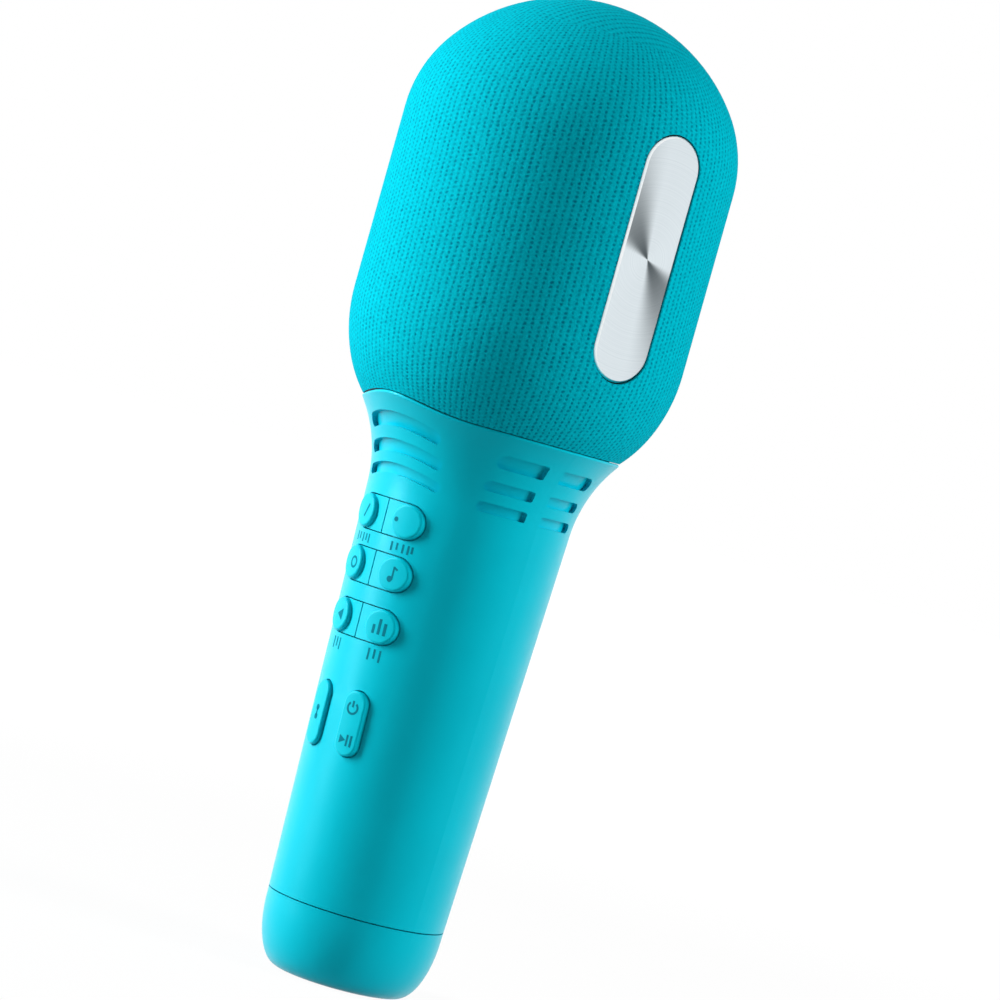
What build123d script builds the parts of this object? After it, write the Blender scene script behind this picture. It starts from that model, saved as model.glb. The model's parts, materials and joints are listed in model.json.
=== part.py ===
from build123d import *
import os
from math import asin, atan2, cos, degrees, radians, sin, sqrt, tan

# A cordless karaoke microphone, standing on its base.
# Origin: centre of the base's flat bottom. +Z: up the long axis. The keys face -Y,
# the metal plate faces +X, turned a little towards the keys.
# All lengths are millimetres, all angles degrees.

# ---- outside of the handle -------------------------------------------------------
cap_height = 18.3            # bottom face to the seam between base cap and handle
cap_flat_radius = 15.2       # flat it stands on
cap_round_height = 16.5      # height of the rounding above the flat
cap_wall = 2.4
seam_groove = 0.3            # open line between the cap and the handle
handle_foot_radius = 22.15   # at the cap's seam
handle_taper = 1.94          # half angle of the grip's cone
handle_wall = 2.2
flare_start = 119.8          # where the grip begins to open towards the head
flare_radius = 34.7
flare_exit = 38.0            # angle from the axis at which the handle meets the head
collar_rise = 2.4            # the collar's hump over the keys
collar_rise_half_width = 22.0
collar_spare = 1.0           # the flare is drawn this much past the collar's hump
collar_edge_round = 0.45
seam_overrun = 9.0           # the head's curve runs on this far below the seam, inside the collar

# ---- outside of the head ---------------------------------------------------------
head_radius = 41.5
head_straight = 45.5         # length of the straight middle of the head
dome_height = 36.8
dome_shoulder_radius = 32.0  # the dome's tighter curve, next to the straight middle
fabric_thickness = 0.8
fabric_gap = 0.1             # between the fabric and what it lies on or ends at
frame_wall = 2.0             # moulded frame under the fabric
split_rise = 4.0             # the joint of bowl and basket, above the speaker's shelf
split_overlap = 4.0          # length of the bowl's spigot inside the basket
split_wall = 1.5
split_gap = 0.05             # between the bowl's rim and the basket's

# ---- grooves round the neck ------------------------------------------------------
vent_depth = 1.3
front_vents = [(3.8, 3.3), (9.9, 3.0), (15.3, 2.6)]     # middle below the seam, and width
side_vents = [(6.8, 3.4), (13.1, 2.6), (18.3, 2.5)]
vent_arch = 1.6              # how far a front groove drops from its middle to its ends
front_vent_reach = 13.0      # a front groove's end, from the front's middle line
side_turn = 4.4              # the side's middle line and the plate, turned from +X towards the keys
side_vent_near = 2.3         # a side groove starts this far from the side's middle line
side_vent_far = 14.5         # and ends this far from it
vent_corner = 0.5            # corners of a side groove's square end, next to the side's middle line

# ---- keys ------------------------------------------------------------------------
key_rows = [("upper", 6.6), ("middle", 19.5), ("lower", 32.5)]   # middle below the start of the flare
pocket_width = 24.1
pocket_height = 9.0
pill_drop = 56.8             # middle of the two long keys, below the start of the flare
pill_offset = 6.2            # each long key's distance from the front's middle line
pill_width = 6.7
pill_length = 16.6
key_gap = 0.3                # round each key in its pocket
key_split = 0.4              # between the two keys of a row
key_sink = 0.05              # a key's flush part below the handle's skin
key_raise = 1.2              # a round pad above the handle's skin
pill_raise = 1.2
key_edge_round = 0.7
pill_edge_round = 0.6
key_flange = 0.8             # a key's flange reaches this far past its pocket
key_play = 0.1               # flange to the inside of the handle
key_wall = 1.3
key_travel = 0.6
key_back = 15.5              # a key's back face, forward of the axis
pocket_back = 13.5           # how far back the pockets are cut
face_back = 19.5             # how far back a key's raised face starts
stem_radius = 2.0

# ---- inside the handle -----------------------------------------------------------
part_fit = 0.15              # sliding fit between moulded parts
battery_radius = 9.15
battery_length = 65.0
battery_back = 5.5           # the cell's axis, behind the handle's axis
battery_rise = 3.4           # the cell's lower end above the chassis's foot plate
cradle_overrun = 4.0         # the cradle reaches this far past the cell
battery_edge_round = 0.8
nub_radius = 2.8
nub_height = 0.9
cell_fit = 0.3
contact_thickness = 0.5
contact_width = 9.0
contact_tab = 4.0            # soldering tab, bent along the cell
chassis_wall = 1.8
chassis_rise = 2.3           # underside of the chassis's foot plate, above the cap's seam
foot_thickness = 2.0
chassis_screw_gap = 0.9      # rim of the top plate to the neck screws' heads
wire_hole_radius = 4.0
board_front = 10.0           # the board's key side, forward of the axis
board_thickness = 1.6
board_width = 25.0
board_reach = 15.0           # lower edge of the board below the middle of the long keys
board_corner = 1.5
board_top_gap = 0.5          # board to the chassis's top plate
board_screw_edge = 0.3       # screw head to the board's edge
board_screw_margin = 3.0     # lower screws above the board's lower edge
board_post_length = 6.0      # posts behind the board
board_screw_length = 6.0
switch_size = 6.0
switch_height = 3.5
switch_corner = 0.6
plunger_radius = 1.7
plunger_height = 0.8
ledge_rise = 2.2             # underside of the handle's inner ledge, above the start of the flare
ledge_thickness = 2.0
ledge_hole_radius = 15.0

# ---- base ------------------------------------------------------------------------
port_width = 8.94
port_height = 3.16
port_length = 7.3
port_shell = 0.3
port_recess = 0.5
tongue_width = 6.7
tongue_thickness = 0.7
port_clearance = 0.2
charge_board_width = 14.0
charge_board_length = 12.0
charge_board_thickness = 1.0
base_screw_offset = 11.0
guide_width = 2.4            # ribs that hold the charging board
guide_side = 1.5             # rib left each side of the board's edge
port_floor = 1.0             # closed back of the port
tongue_setback = 0.5         # tongue behind the port's mouth

# ---- screws: shank radius, head radius, head height --------------------------------
screw_sizes = {"base": (1.25, 2.1, 1.4), "board": (1.0, 1.9, 1.2), "neck": (1.25, 2.2, 1.5),
               "speaker": (1.0, 1.9, 1.1), "bridge": (1.0, 1.9, 1.1)}
screw_clearance = 0.2
pilot_clearance = 0.05       # screws are drawn without thread, in holes this much wider
boss_wall = 1.7

# ---- inside the head ---------------------------------------------------------------
screw_angles = (30, 150, 270)    # of the neck's screws and of the capsule bridge's arms
neck_screw_gap = 1.5         # the neck's screw posts to the magnet's side
neck_boss_height = 7.5
magnet_room = 2.0            # free height under the magnet
shelf_thickness = 2.0
speaker_boss_length = 5.0
speaker_rim = 1.0            # the shelf's hole is this much wider than the speaker's cone
speaker_radius = 27.0
speaker_flange = 1.2
cone_radius = 22.5
cone_depth = 7.0
cone_thickness = 0.6
surround_width = 3.0
dust_cap_rise = 3.0
speaker_metal = 0.8          # wall of the speaker's pressed frame
speaker_back = 1.2           # its back plate
speaker_window = 14.0        # width of the four openings in the frame
speaker_screw_edge = 0.2     # screw head to the rim of the frame
speaker_screw_length = 5.0
magnet_bevel = 0.6
magnet_radius = 15.0
magnet_height = 9.0
speaker_depth = 13.0         # flange to the magnet's face
speaker_screws = 4
bridge_drop = 5.4            # underside of the capsule's bridge, below the start of the dome
bridge_thickness = 2.4
bridge_arm_width = 7.0
bridge_rib_width = 1.6
bridge_rib_length = 12.0
bridge_hub_height = 5.0
bridge_hub_wall = 3.0
bridge_boss_inset = 9.0      # the bridge's screws, inside the head's skin
bridge_boss_length = 7.0
bridge_web = 2.0             # thickness of the web from a post to the basket
boot_radius = 10.0
boot_length = 16.0
boot_drop = 3.0              # the boot's lower end below the bridge
boot_wall = 1.8
boot_lip = 2.0               # the boot's lip over the hub, each way
boot_mouth = 3.0             # radius of the hole in its lower end
rubber_fit = 0.05
capsule_radius = 8.0
capsule_length = 9.0
capsule_edge_round = 0.5
capsule_hole_radius = 0.9
capsule_hole_depth = 1.0
foam_thickness = 3.0
foam_gap = 0.3
foam_rise = 4.6              # the foam's lower edge above the start of the dome

# ---- metal plate -------------------------------------------------------------------
plate_length = 60.0
plate_width = 16.3
plate_thickness = 1.2
plate_lift = 0.75            # middle of the plate above the middle of the head's straight part
plate_bevel = 0.5
plate_gap = 0.35             # between the plate and the fabric round it
plate_stud_radius = 1.2
plate_stud_length = 3.0
plate_stud_spacing = 36.0
seat_gap = 0.05

# ---- windows in the frames under the fabric ------------------------------------------
window_columns = 20
plate_margin_angle = 1.0     # solid frame left each side of the plate
window_width = 6.5
# middle above the foot of the straight part, and length
window_rows = [(-1.9, 16.0), (18.1, 16.0), (36.1, 12.0)]
# tilt above level, number round the dome, width and length
dome_window_rings = [(24.0, 16, 9.0, 7.0), (46.0, 12, 9.0, 7.0), (68.0, 6, 7.0, 6.0)]
bowl_window_columns = 18
bowl_window_drop = 4.3       # middle of the bowl's windows below the joint of bowl and basket
bowl_window_length = 9.0

# ---- worked out from the sizes above -------------------------------------------------
flare_start_radius = handle_foot_radius + (flare_start - cap_height) * tan(radians(handle_taper))
seam_height = flare_start + flare_radius * (sin(radians(flare_exit)) - sin(radians(handle_taper)))
seam_radius = flare_start_radius + flare_radius * (cos(radians(handle_taper)) - cos(radians(flare_exit)))
bowl_radius = (head_radius - seam_radius) / (1 - cos(radians(flare_exit)))
bowl_top = seam_height + bowl_radius * sin(radians(flare_exit))
dome_start = bowl_top + head_straight
crown_radius = (((head_radius - dome_shoulder_radius) ** 2 + dome_height ** 2 - dome_shoulder_radius ** 2)
                / (2 * (dome_height - dome_shoulder_radius)))    # tangent to the shoulder, level at the top
fabric_room = fabric_thickness + 2 * fabric_gap
skirt_inset = handle_wall + part_fit
key_heights = [(name, flare_start - drop) for name, drop in key_rows]
pill_height = flare_start - pill_drop
ledge_height = flare_start + ledge_rise
ledge_top = ledge_height + ledge_thickness
board_back = board_front - board_thickness
board_low = pill_height - board_reach
switch_front = board_front + switch_height + plunger_height
chassis_foot = cap_height + chassis_rise
chassis_top = ledge_height - part_fit
board_high = chassis_top - foot_thickness - board_top_gap
battery_foot = chassis_foot + foot_thickness + battery_rise
neck_screw_radius = magnet_radius + neck_screw_gap + screw_sizes["neck"][0] + pilot_clearance + boss_wall
chassis_top_radius = neck_screw_radius - screw_sizes["neck"][1] - chassis_screw_gap
shelf_top = ledge_top + frame_wall + magnet_room + magnet_height + speaker_depth
head_split = shelf_top + split_rise
bowl_window_tilt = degrees(asin((bowl_top - head_split + bowl_window_drop) / bowl_radius))
bridge_height = dome_start - bridge_drop
bridge_boss_radius = head_radius - bridge_boss_inset
boot_foot = bridge_height - boot_drop
plate_face = sqrt(head_radius ** 2 - (plate_width / 2) ** 2)    # its long edges are level with the fabric
plate_height = bowl_top + head_straight / 2 + plate_lift
reach = 3 * head_radius      # longer than any distance across the microphone


def on_circle(centre, radius, angle):
    return (centre[0] + radius * cos(radians(angle)), centre[1] + radius * sin(radians(angle)))


def turned(outline):
    """Turn a closed outline, drawn as radius and height, about the long axis."""
    return revolve(make_face(Plane.XZ * outline), Axis.Z)


def ring(inner, outer, low, high):
    """A plain ring or disc about the long axis."""
    disc = Pos(0, 0, low) * extrude(Circle(outer), high - low)
    if inner <= 0:
        return disc
    return disc - Pos(0, 0, low) * extrude(Circle(inner), high - low)


def between(solid, low, high):
    """The part of a solid between two heights."""
    return solid & ring(0, reach, low, high)


def grip_radius(height):
    return handle_foot_radius + (height - cap_height) * tan(radians(handle_taper))


def handle_form(inset, low=0.0):
    """The grip and its flare, filled, with its skin moved inwards by inset."""
    centre = (flare_start_radius + flare_radius * cos(radians(handle_taper)),
              flare_start - flare_radius * sin(radians(handle_taper)))
    radius = flare_radius + inset
    end_angle = degrees(asin(sin(radians(flare_exit)) + (collar_rise + collar_spare) / flare_radius))
    foot = (grip_radius(low) - inset / cos(radians(handle_taper)), low)
    start = on_circle(centre, radius, 180 - handle_taper)
    end = on_circle(centre, radius, 180 - end_angle)
    arc = CenterArc(centre, radius, 180 - handle_taper, handle_taper - end_angle)
    outline = Line(foot, start) + arc + Polyline(end, (0, end[1]), (0, low), foot)
    return turned(outline)


def head_form(inset):
    """The whole head, filled, with its skin moved inwards by inset."""
    centre = (head_radius - bowl_radius, bowl_top)
    sweep = flare_exit + seam_overrun
    foot = on_circle(centre, bowl_radius - inset, -sweep)
    arc = CenterArc(centre, bowl_radius - inset, -sweep, sweep)
    side = head_radius - inset
    shoulder_centre = (head_radius - dome_shoulder_radius, dome_start)
    turn = degrees(atan2(crown_radius - dome_height, shoulder_centre[0]))
    shoulder = CenterArc(shoulder_centre, dome_shoulder_radius - inset, 0, turn)
    crown = CenterArc((0, dome_start + dome_height - crown_radius), crown_radius - inset, turn, 90 - turn)
    outline = arc + Line((side, bowl_top), (side, dome_start)) + shoulder + crown
    outline += Polyline((0, dome_start + dome_height - inset), (0, foot[1]), foot)
    return turned(outline)


def cap_form(inset):
    """The base cap, filled, up to the seam."""
    top = cap_height - seam_groove / 2
    shoulder = grip_radius(cap_round_height) - inset
    rounding = EllipticalCenterArc((cap_flat_radius, cap_round_height), shoulder - cap_flat_radius,
                                   cap_round_height - inset, 270, arc_size=90)
    outline = Line((0, inset), (cap_flat_radius, inset)) + rounding
    outline += Polyline((shoulder, cap_round_height), (grip_radius(top) - inset, top), (0, top), (0, inset))
    return turned(outline)


def above_collar(gap=0.0):
    """All the space above the collar's edge, which humps up over the keys."""
    edge = seam_height + gap
    hump = Spline((-collar_rise_half_width, edge), (0, edge + collar_rise), (collar_rise_half_width, edge),
                  tangents=[(1, 0), (1, 0)])
    rest = Polyline((collar_rise_half_width, edge), (reach, edge), (reach, edge + 2 * reach),
                    (-reach, edge + 2 * reach), (-reach, edge), (-collar_rise_half_width, edge))
    front = extrude(make_face(Plane.XZ * (hump + rest)), reach)
    back = Pos(0, reach / 2, edge + reach) * Box(2 * reach, reach, 2 * reach)
    return front + back


def forward(sketch, start, end=reach):
    """Extrude a sketch of the front view from one distance forward of the axis to another."""
    return extrude(Plane.XZ.offset(start) * sketch, end - start)


def screw(kind, length):
    """A screw with its head's underside at the origin, pointing along +Z."""
    shank, head, thickness = screw_sizes[kind]
    body = extrude(Circle(shank), length) + extrude(Circle(head), -thickness)
    socket = Pos(0, 0, -thickness) * extrude(RegularPolygon(head / 2, 6), thickness / 2)
    return body - socket


def screw_hole(kind, length, clearance=pilot_clearance):
    return extrude(Circle(screw_sizes[kind][0] + clearance), length)


def boss(kind, length):
    return extrude(Circle(screw_sizes[kind][0] + pilot_clearance + boss_wall), length)


def group(solids):
    return Compound(children=list(solids))


# ---- handle ------------------------------------------------------------------------

def to_side(solid):
    """A solid drawn towards +X, turned to the side's middle line."""
    return Rot(0, 0, -side_turn) * solid


def front_grooves():
    """Three arched grooves over the keys, cut straight back."""
    cuts = []
    for drop, width in front_vents:
        middle = seam_height - drop
        half = front_vent_reach - width / 2
        arch = ThreePointArc((-half, middle - vent_arch), (0, middle), (half, middle - vent_arch))
        cuts.append(forward(SlotArc(arch, width), 0))
    return cuts


def side_grooves():
    """Two stacks of level grooves on each side, square where the stacks face each other."""
    cuts = []
    length = side_vent_far - side_vent_near
    for drop, width in side_vents:
        middle = seam_height - drop
        slot = Pos(-side_vent_near - length / 2, middle) * SlotOverall(length, width)
        square = Pos(-side_vent_near - width, middle) * RectangleRounded(2 * width, width, vent_corner)
        cut = extrude(Plane.YZ * (slot + square), reach)
        cut = to_side(cut + mirror(cut, Plane.XZ))
        cuts += [cut, mirror(cut, Plane.YZ)]
    return cuts


def flare_skin_radius(height):
    """The handle's outer radius at a height, on the grip or on the flare."""
    if height <= flare_start:
        return grip_radius(height)
    sine = sin(radians(handle_taper)) + (height - flare_start) / flare_radius
    return flare_start_radius + flare_radius * (cos(radians(handle_taper)) - sqrt(1 - sine ** 2))


def key_pockets():
    holes = [forward(Pos(0, height) * SlotOverall(pocket_width, pocket_height), pocket_back)
             for name, height in key_heights]
    for side in (-1, 1):
        pill = Pos(side * pill_offset, pill_height) * SlotOverall(pill_length, pill_width, rotation=90)
        holes.append(forward(pill, pocket_back))
    return holes


def handle_shell():
    skin = handle_form(0, cap_height + seam_groove / 2) - above_collar()
    bore = handle_form(handle_wall) - ring(0, reach, ledge_height, ledge_top)
    shell = skin - bore - ring(0, ledge_hole_radius, ledge_height, ledge_top)
    shell = fillet(collar_rim(shell), collar_edge_round)
    core = handle_form(vent_depth)
    for cut in front_grooves() + side_grooves():
        shell -= cut - core
    neck_hole = screw_hole("neck", ledge_thickness * 2, screw_clearance)
    for hole in key_pockets() + neck_screw_places(neck_hole, ledge_height - ledge_thickness / 2):
        shell -= hole
    return shell


def collar_rim(shell):
    """The outer edges of the collar's upper rim."""
    rim = []
    for edge in shell.edges().filter_by_position(Axis.Z, seam_height - 0.1, seam_height + collar_rise + 0.1):
        middle = edge @ 0.5
        if sqrt(middle.X ** 2 + middle.Y ** 2) > flare_skin_radius(middle.Z) - handle_wall / 2:
            rim.append(edge)
    return rim


def neck_screw_places(solid, height):
    return [Rot(0, 0, angle) * Pos(neck_screw_radius, 0, height) * solid for angle in screw_angles]


# ---- base cap and charging port ------------------------------------------------------

def base_screw_places(solid, height):
    return [Pos(side * base_screw_offset, 0, height) * solid for side in (-1, 1)]


def base_cap():
    """Round cap with a spigot inside the handle, two screw posts and the charging port's mouth."""
    top = cap_height - seam_groove / 2
    spigot_radius = grip_radius(cap_height) - handle_wall - part_fit
    inner = spigot_radius - cap_wall / 2
    cap = cap_form(0) - cap_form(cap_wall)
    cap += ring(inner, grip_radius(top) - cap_wall / 2, cap_round_height, top)
    cap += ring(inner, spigot_radius, cap_round_height, chassis_foot + foot_thickness)
    floor = cap_wall / 2
    for post in base_screw_places(boss("base", chassis_foot - part_fit - floor), floor):
        cap += post
    cap += charge_board_guides()
    shank, head, thickness = screw_sizes["base"]
    recess = extrude(Circle(head + screw_clearance), thickness + screw_clearance)
    hole = screw_hole("base", reach, screw_clearance)
    for cut in base_screw_places(recess, 0) + base_screw_places(hole, 0):
        cap -= cut
    mouth = SlotOverall(port_width + 2 * port_clearance, port_height + 2 * port_clearance)
    return cap - extrude(mouth, cap_wall * 2)


def charge_board_guides():
    """Two grooved ribs that the charging board slides down into."""
    ribs = []
    depth = charge_board_thickness + 2 * guide_side
    back = (port_height + charge_board_thickness) / 2
    for side in (-1, 1):
        rib = Pos(side * charge_board_width / 2, back, 0)
        ribs.append(rib * extrude(Rectangle(guide_width, depth), charge_board_length))
    slot = Rectangle(charge_board_width + 2 * pilot_clearance, charge_board_thickness + 2 * pilot_clearance)
    board = Pos(0, back, cap_wall) * extrude(slot, reach)
    return group(ribs) - board - ring(0, reach, -cap_wall, cap_wall / 2)


def charge_board():
    outline = Rectangle(charge_board_width, charge_board_thickness)
    back = (port_height + charge_board_thickness) / 2
    return Pos(0, back, cap_wall) * extrude(outline, charge_board_length)


def charge_port():
    shell = SlotOverall(port_width, port_height)
    hollow = SlotOverall(port_width - 2 * port_shell, port_height - 2 * port_shell)
    tongue = Rectangle(tongue_width, tongue_thickness)
    body = extrude(shell, port_length) - extrude(hollow, port_length - port_floor)
    body += Pos(0, 0, tongue_setback) * extrude(tongue, port_length - tongue_setback - port_floor / 2)
    return Pos(0, 0, port_recess) * body


def base_screws():
    length = chassis_foot + foot_thickness - 2 * screw_sizes["base"][2]
    return group(base_screw_places(screw("base", length), screw_sizes["base"][2] + screw_clearance))


# ---- chassis, board and battery --------------------------------------------------------

def board_screw_places(solid):
    """Four places along the board's edges, below the keys and between the top two rows."""
    side = board_width / 2 - screw_sizes["board"][1] - board_screw_edge
    heights = (board_low + board_screw_margin, (key_heights[0][1] + key_heights[1][1]) / 2)
    return [Pos(x, -board_front, z) * Rot(-90, 0, 0) * solid for x in (-side, side) for z in heights]


def inner_chassis():
    """Foot plate, top plate and two rails, with the battery's cradle behind them."""
    cell = battery_radius + cell_fit
    body = battery_cradle(cell) + chassis_rails(cell)
    spigot = grip_radius(cap_height) - handle_wall - part_fit - cap_wall / 2
    body += ring(0, spigot - part_fit, chassis_foot, chassis_foot + foot_thickness)
    body += ring(0, chassis_top_radius, chassis_top - foot_thickness, chassis_top)
    for post in board_screw_places(Pos(0, 0, board_thickness) * boss("board", board_post_length)):
        body += post
    body -= Pos(0, battery_back, battery_foot) * extrude(Circle(cell), battery_length)
    for hole in board_screw_places(screw_hole("board", board_thickness + board_post_length)):
        body -= hole
    for hole in base_screw_places(screw_hole("base", chassis_foot + foot_thickness), 0):
        body -= hole
    return body - Pos(0, -battery_radius, 0) * extrude(Circle(wire_hole_radius), reach * 2)


def battery_cradle(cell):
    """Half a tube behind the cell, closed by a wall at each end."""
    low = battery_foot - contact_thickness
    high = battery_foot + battery_length + contact_thickness + nub_height
    tube = ring(cell, cell + chassis_wall, chassis_foot, battery_foot + battery_length + cradle_overrun)
    rear = Pos(0, battery_back + reach / 2, 0) * Box(reach, reach, reach * 4)
    cradle = (Pos(0, battery_back, 0) * tube) & rear
    wall = Box(2 * cell, 2 * cell, chassis_wall)
    cradle += Pos(0, battery_back, low - chassis_wall / 2) * wall
    return cradle + Pos(0, battery_back, high + chassis_wall / 2) * wall


def chassis_rails(cell):
    depth = battery_back + board_back
    height = chassis_top - chassis_foot
    beam = Box(chassis_wall, depth, height)
    return [Pos(side * (cell + chassis_wall / 2), battery_back - depth / 2, chassis_foot + height / 2) * beam
            for side in (-1, 1)]


def main_board():
    outline = RectangleRounded(board_width, board_high - board_low, board_corner)
    board = Pos(0, (board_high + board_low) / 2) * outline
    body = forward(board, board_back, board_front)
    for hole in board_screw_places(screw_hole("board", reach, screw_clearance)):
        body -= hole
    return body


def board_screws():
    return group(board_screw_places(screw("board", board_screw_length)))


def switch_places():
    places = []
    for name, height in key_heights:
        for side in (-1, 1):
            places.append((side * pad_offset(), height))
    for side in (-1, 1):
        places.append((side * pill_offset, pill_height))
    return places


def tact_switches():
    switches = []
    for x, z in switch_places():
        body = forward(Pos(x, z) * RectangleRounded(switch_size, switch_size, switch_corner), board_front,
                       board_front + switch_height)
        switches.append(body + forward(Pos(x, z) * Circle(plunger_radius), board_front, switch_front))
    return group(switches)


def battery_cell():
    cell = fillet(extrude(Circle(battery_radius), battery_length).edges(), battery_edge_round)
    cell += extrude(Circle(nub_radius), battery_length + nub_height)
    return Pos(0, battery_back, battery_foot) * cell


def battery_contacts():
    front = battery_radius + cell_fit + contact_thickness
    middle = (Align.CENTER, Align.MIN)
    plate = Pos(0, -front, 0) * Rectangle(contact_width, front + contact_width / 2, align=middle)
    plate = extrude(plate, contact_thickness)
    tab = Pos(0, -front, 0) * Rectangle(contact_width / 2, contact_thickness, align=middle)
    low = plate + extrude(tab, contact_tab)
    high = plate + extrude(tab, -contact_tab)
    foot = Pos(0, battery_back, battery_foot - contact_thickness)
    head = Pos(0, battery_back, battery_foot + battery_length + nub_height)
    return group([foot * low, head * high])


# ---- keys ------------------------------------------------------------------------------

def pad_offset():
    """Distance of a round pad's middle from the front's middle line."""
    return (pocket_width - pocket_height) / 2


def half_of(sketch, side):
    """The left or right part of a row's outline, on its side of the split."""
    return sketch - Pos(-side * (reach / 2 - key_split / 2), 0) * Rectangle(reach, reach * 4)


def key_from(outline, flange, hollow, stem_at):
    """The plain plunger of a key: flush face, flange behind the wall, hollow back, stem."""
    plunger = forward(outline, key_back) & handle_form(key_sink)
    plunger += forward(flange, key_back) & handle_form(handle_wall + key_play)
    plunger -= forward(hollow, 0) & handle_form(handle_wall + key_play + key_wall)
    stem = forward(Pos(*stem_at) * Circle(stem_radius), switch_front + key_travel + key_play)
    return plunger + (stem & handle_form(handle_wall))


def row_key(side, height):
    """Half of a pill, flush with the handle beside the split, with a raised round pad at its end."""
    place = Pos(0, height)
    outline = half_of(place * SlotOverall(pocket_width - 2 * key_gap, pocket_height - 2 * key_gap), side)
    rim = SlotOverall(pocket_width + 2 * key_flange, pocket_height + 2 * key_flange)
    flange = half_of(place * rim, side)
    inset = 2 * (key_gap + key_wall)
    hollow = place * SlotOverall(pocket_width - inset, pocket_height - inset)
    hollow = hollow - Pos(-side * (reach / 2 - key_split / 2 - key_wall), height) * Rectangle(reach, reach)
    middle = (side * pad_offset(), height)
    pad = forward(Pos(*middle) * Circle(pocket_height / 2 - key_gap), face_back) & handle_form(-key_raise)
    pad = fillet(pad.faces().sort_by(Axis.Y)[0].edges(), key_edge_round)
    return key_from(outline, flange, hollow, middle) + pad


def long_key(side):
    place = Pos(side * pill_offset, pill_height)
    outline = place * SlotOverall(pill_length - 2 * key_gap, pill_width - 2 * key_gap, rotation=90)
    flange = place * SlotOverall(pill_length + 2 * key_flange, pill_width + 2 * key_flange, rotation=90)
    inset = 2 * (key_gap + key_wall)
    hollow = place * SlotOverall(pill_length - inset, pill_width - inset, rotation=90)
    face = forward(outline, face_back) & handle_form(-pill_raise)
    face = fillet(face.faces().sort_by(Axis.Y)[0].edges(), pill_edge_round)
    return key_from(outline, flange, hollow, (side * pill_offset, pill_height)) + face


# ---- bowl, speaker and neck --------------------------------------------------------------

def head_bowl():
    """Lower half of the head's frame: a skirt in the collar, a bowl above it, a shelf inside."""
    thick = fabric_room + frame_wall
    skirt = between(handle_form(skirt_inset), ledge_top, seam_height + collar_rise)
    skirt &= head_form(fabric_room) + ring(0, reach, 0, seam_height)
    outside = (head_form(fabric_room) & above_collar(fabric_gap)) + skirt
    inside = between(handle_form(skirt_inset + frame_wall), ledge_top + frame_wall, reach * 2)
    inside += head_form(thick)
    body = between(outside, ledge_top, head_split) - inside
    body += bowl_spigot(thick)
    body += between(head_form(fabric_room + frame_wall / 2), shelf_top - shelf_thickness, shelf_top)
    for post in neck_screw_places(boss("neck", neck_boss_height), ledge_top):
        body += post
    foot = shelf_top - speaker_boss_length
    for post in speaker_screw_places(boss("speaker", speaker_boss_length), foot):
        body += post
    body -= ring(0, cone_radius + speaker_rim, foot, shelf_top)
    body -= ring(0, ledge_hole_radius, 0, ledge_top + frame_wall)
    for hole in neck_screw_places(screw_hole("neck", neck_boss_height - shelf_thickness / 2), ledge_top):
        body -= hole
    for hole in speaker_screw_places(screw_hole("speaker", speaker_boss_length), foot):
        body -= hole
    return body - bowl_windows()


def bowl_spigot(thick):
    """The thin collar on the bowl's rim that slides into the basket."""
    low = head_split - split_overlap
    inner = head_form(thick + split_wall)
    spigot = between(head_form(thick + part_fit) - inner, low, head_split + split_overlap)
    return spigot + between(head_form(fabric_room + frame_wall / 2) - inner, low, head_split)


def window_cutter(width, length, near, far):
    """A block that cuts one window, level, towards +X, through a wall between two distances."""
    start = near - 2 * (fabric_room + frame_wall)
    return extrude(Plane.YZ.offset(start) * Rectangle(width, length), far + frame_wall - start)


def bowl_windows():
    cut = window_cutter(window_width, bowl_window_length, bowl_radius, bowl_radius)
    cut = Pos(head_radius - bowl_radius, 0, bowl_top) * Rot(0, bowl_window_tilt, 0) * cut
    step = 360 / bowl_window_columns
    return [Rot(0, 0, step * (column + 0.5)) * cut for column in range(bowl_window_columns)]


def neck_screws():
    length = ledge_thickness + neck_boss_height - shelf_thickness
    return group(neck_screw_places(screw("neck", length), ledge_height))


def speaker_screw_places(solid, height):
    step = 360 / speaker_screws
    place = speaker_radius - screw_sizes["speaker"][1] - speaker_screw_edge
    return [Rot(0, 0, step * (number + 0.5)) * Pos(place, 0, height) * solid
            for number in range(speaker_screws)]


def speaker_frame():
    """Pressed basket of the speaker: a flange, four windows, and a back plate for the magnet."""
    low = shelf_top
    back = low - speaker_depth
    foot = magnet_radius + speaker_metal
    inner = back + speaker_back
    outline = Polyline((cone_radius, low), (cone_radius + speaker_metal, low), (foot, inner),
                       (foot, back), (0, back), (0, inner), (magnet_radius, inner), (cone_radius, low))
    frame = turned(outline) + ring(cone_radius, speaker_radius, low, low + speaker_flange)
    frame += ring(cone_radius, cone_radius + speaker_metal, low - speaker_metal, low)
    height = speaker_depth - 2 * shelf_thickness - speaker_back
    window = extrude(Rectangle(reach, speaker_window), height)
    window = Pos(0, 0, back + shelf_thickness + speaker_metal) * window
    for angle in (0, 90):
        frame -= Rot(0, 0, angle) * window - ring(0, magnet_radius - speaker_metal, 0, reach * 2)
    for hole in speaker_screw_places(screw_hole("speaker", reach, screw_clearance), low):
        frame -= hole
    return frame


def speaker_magnet():
    back = shelf_top - speaker_depth
    body = ring(0, magnet_radius, back - magnet_height, back)
    return chamfer(body.edges(), magnet_bevel)


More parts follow.
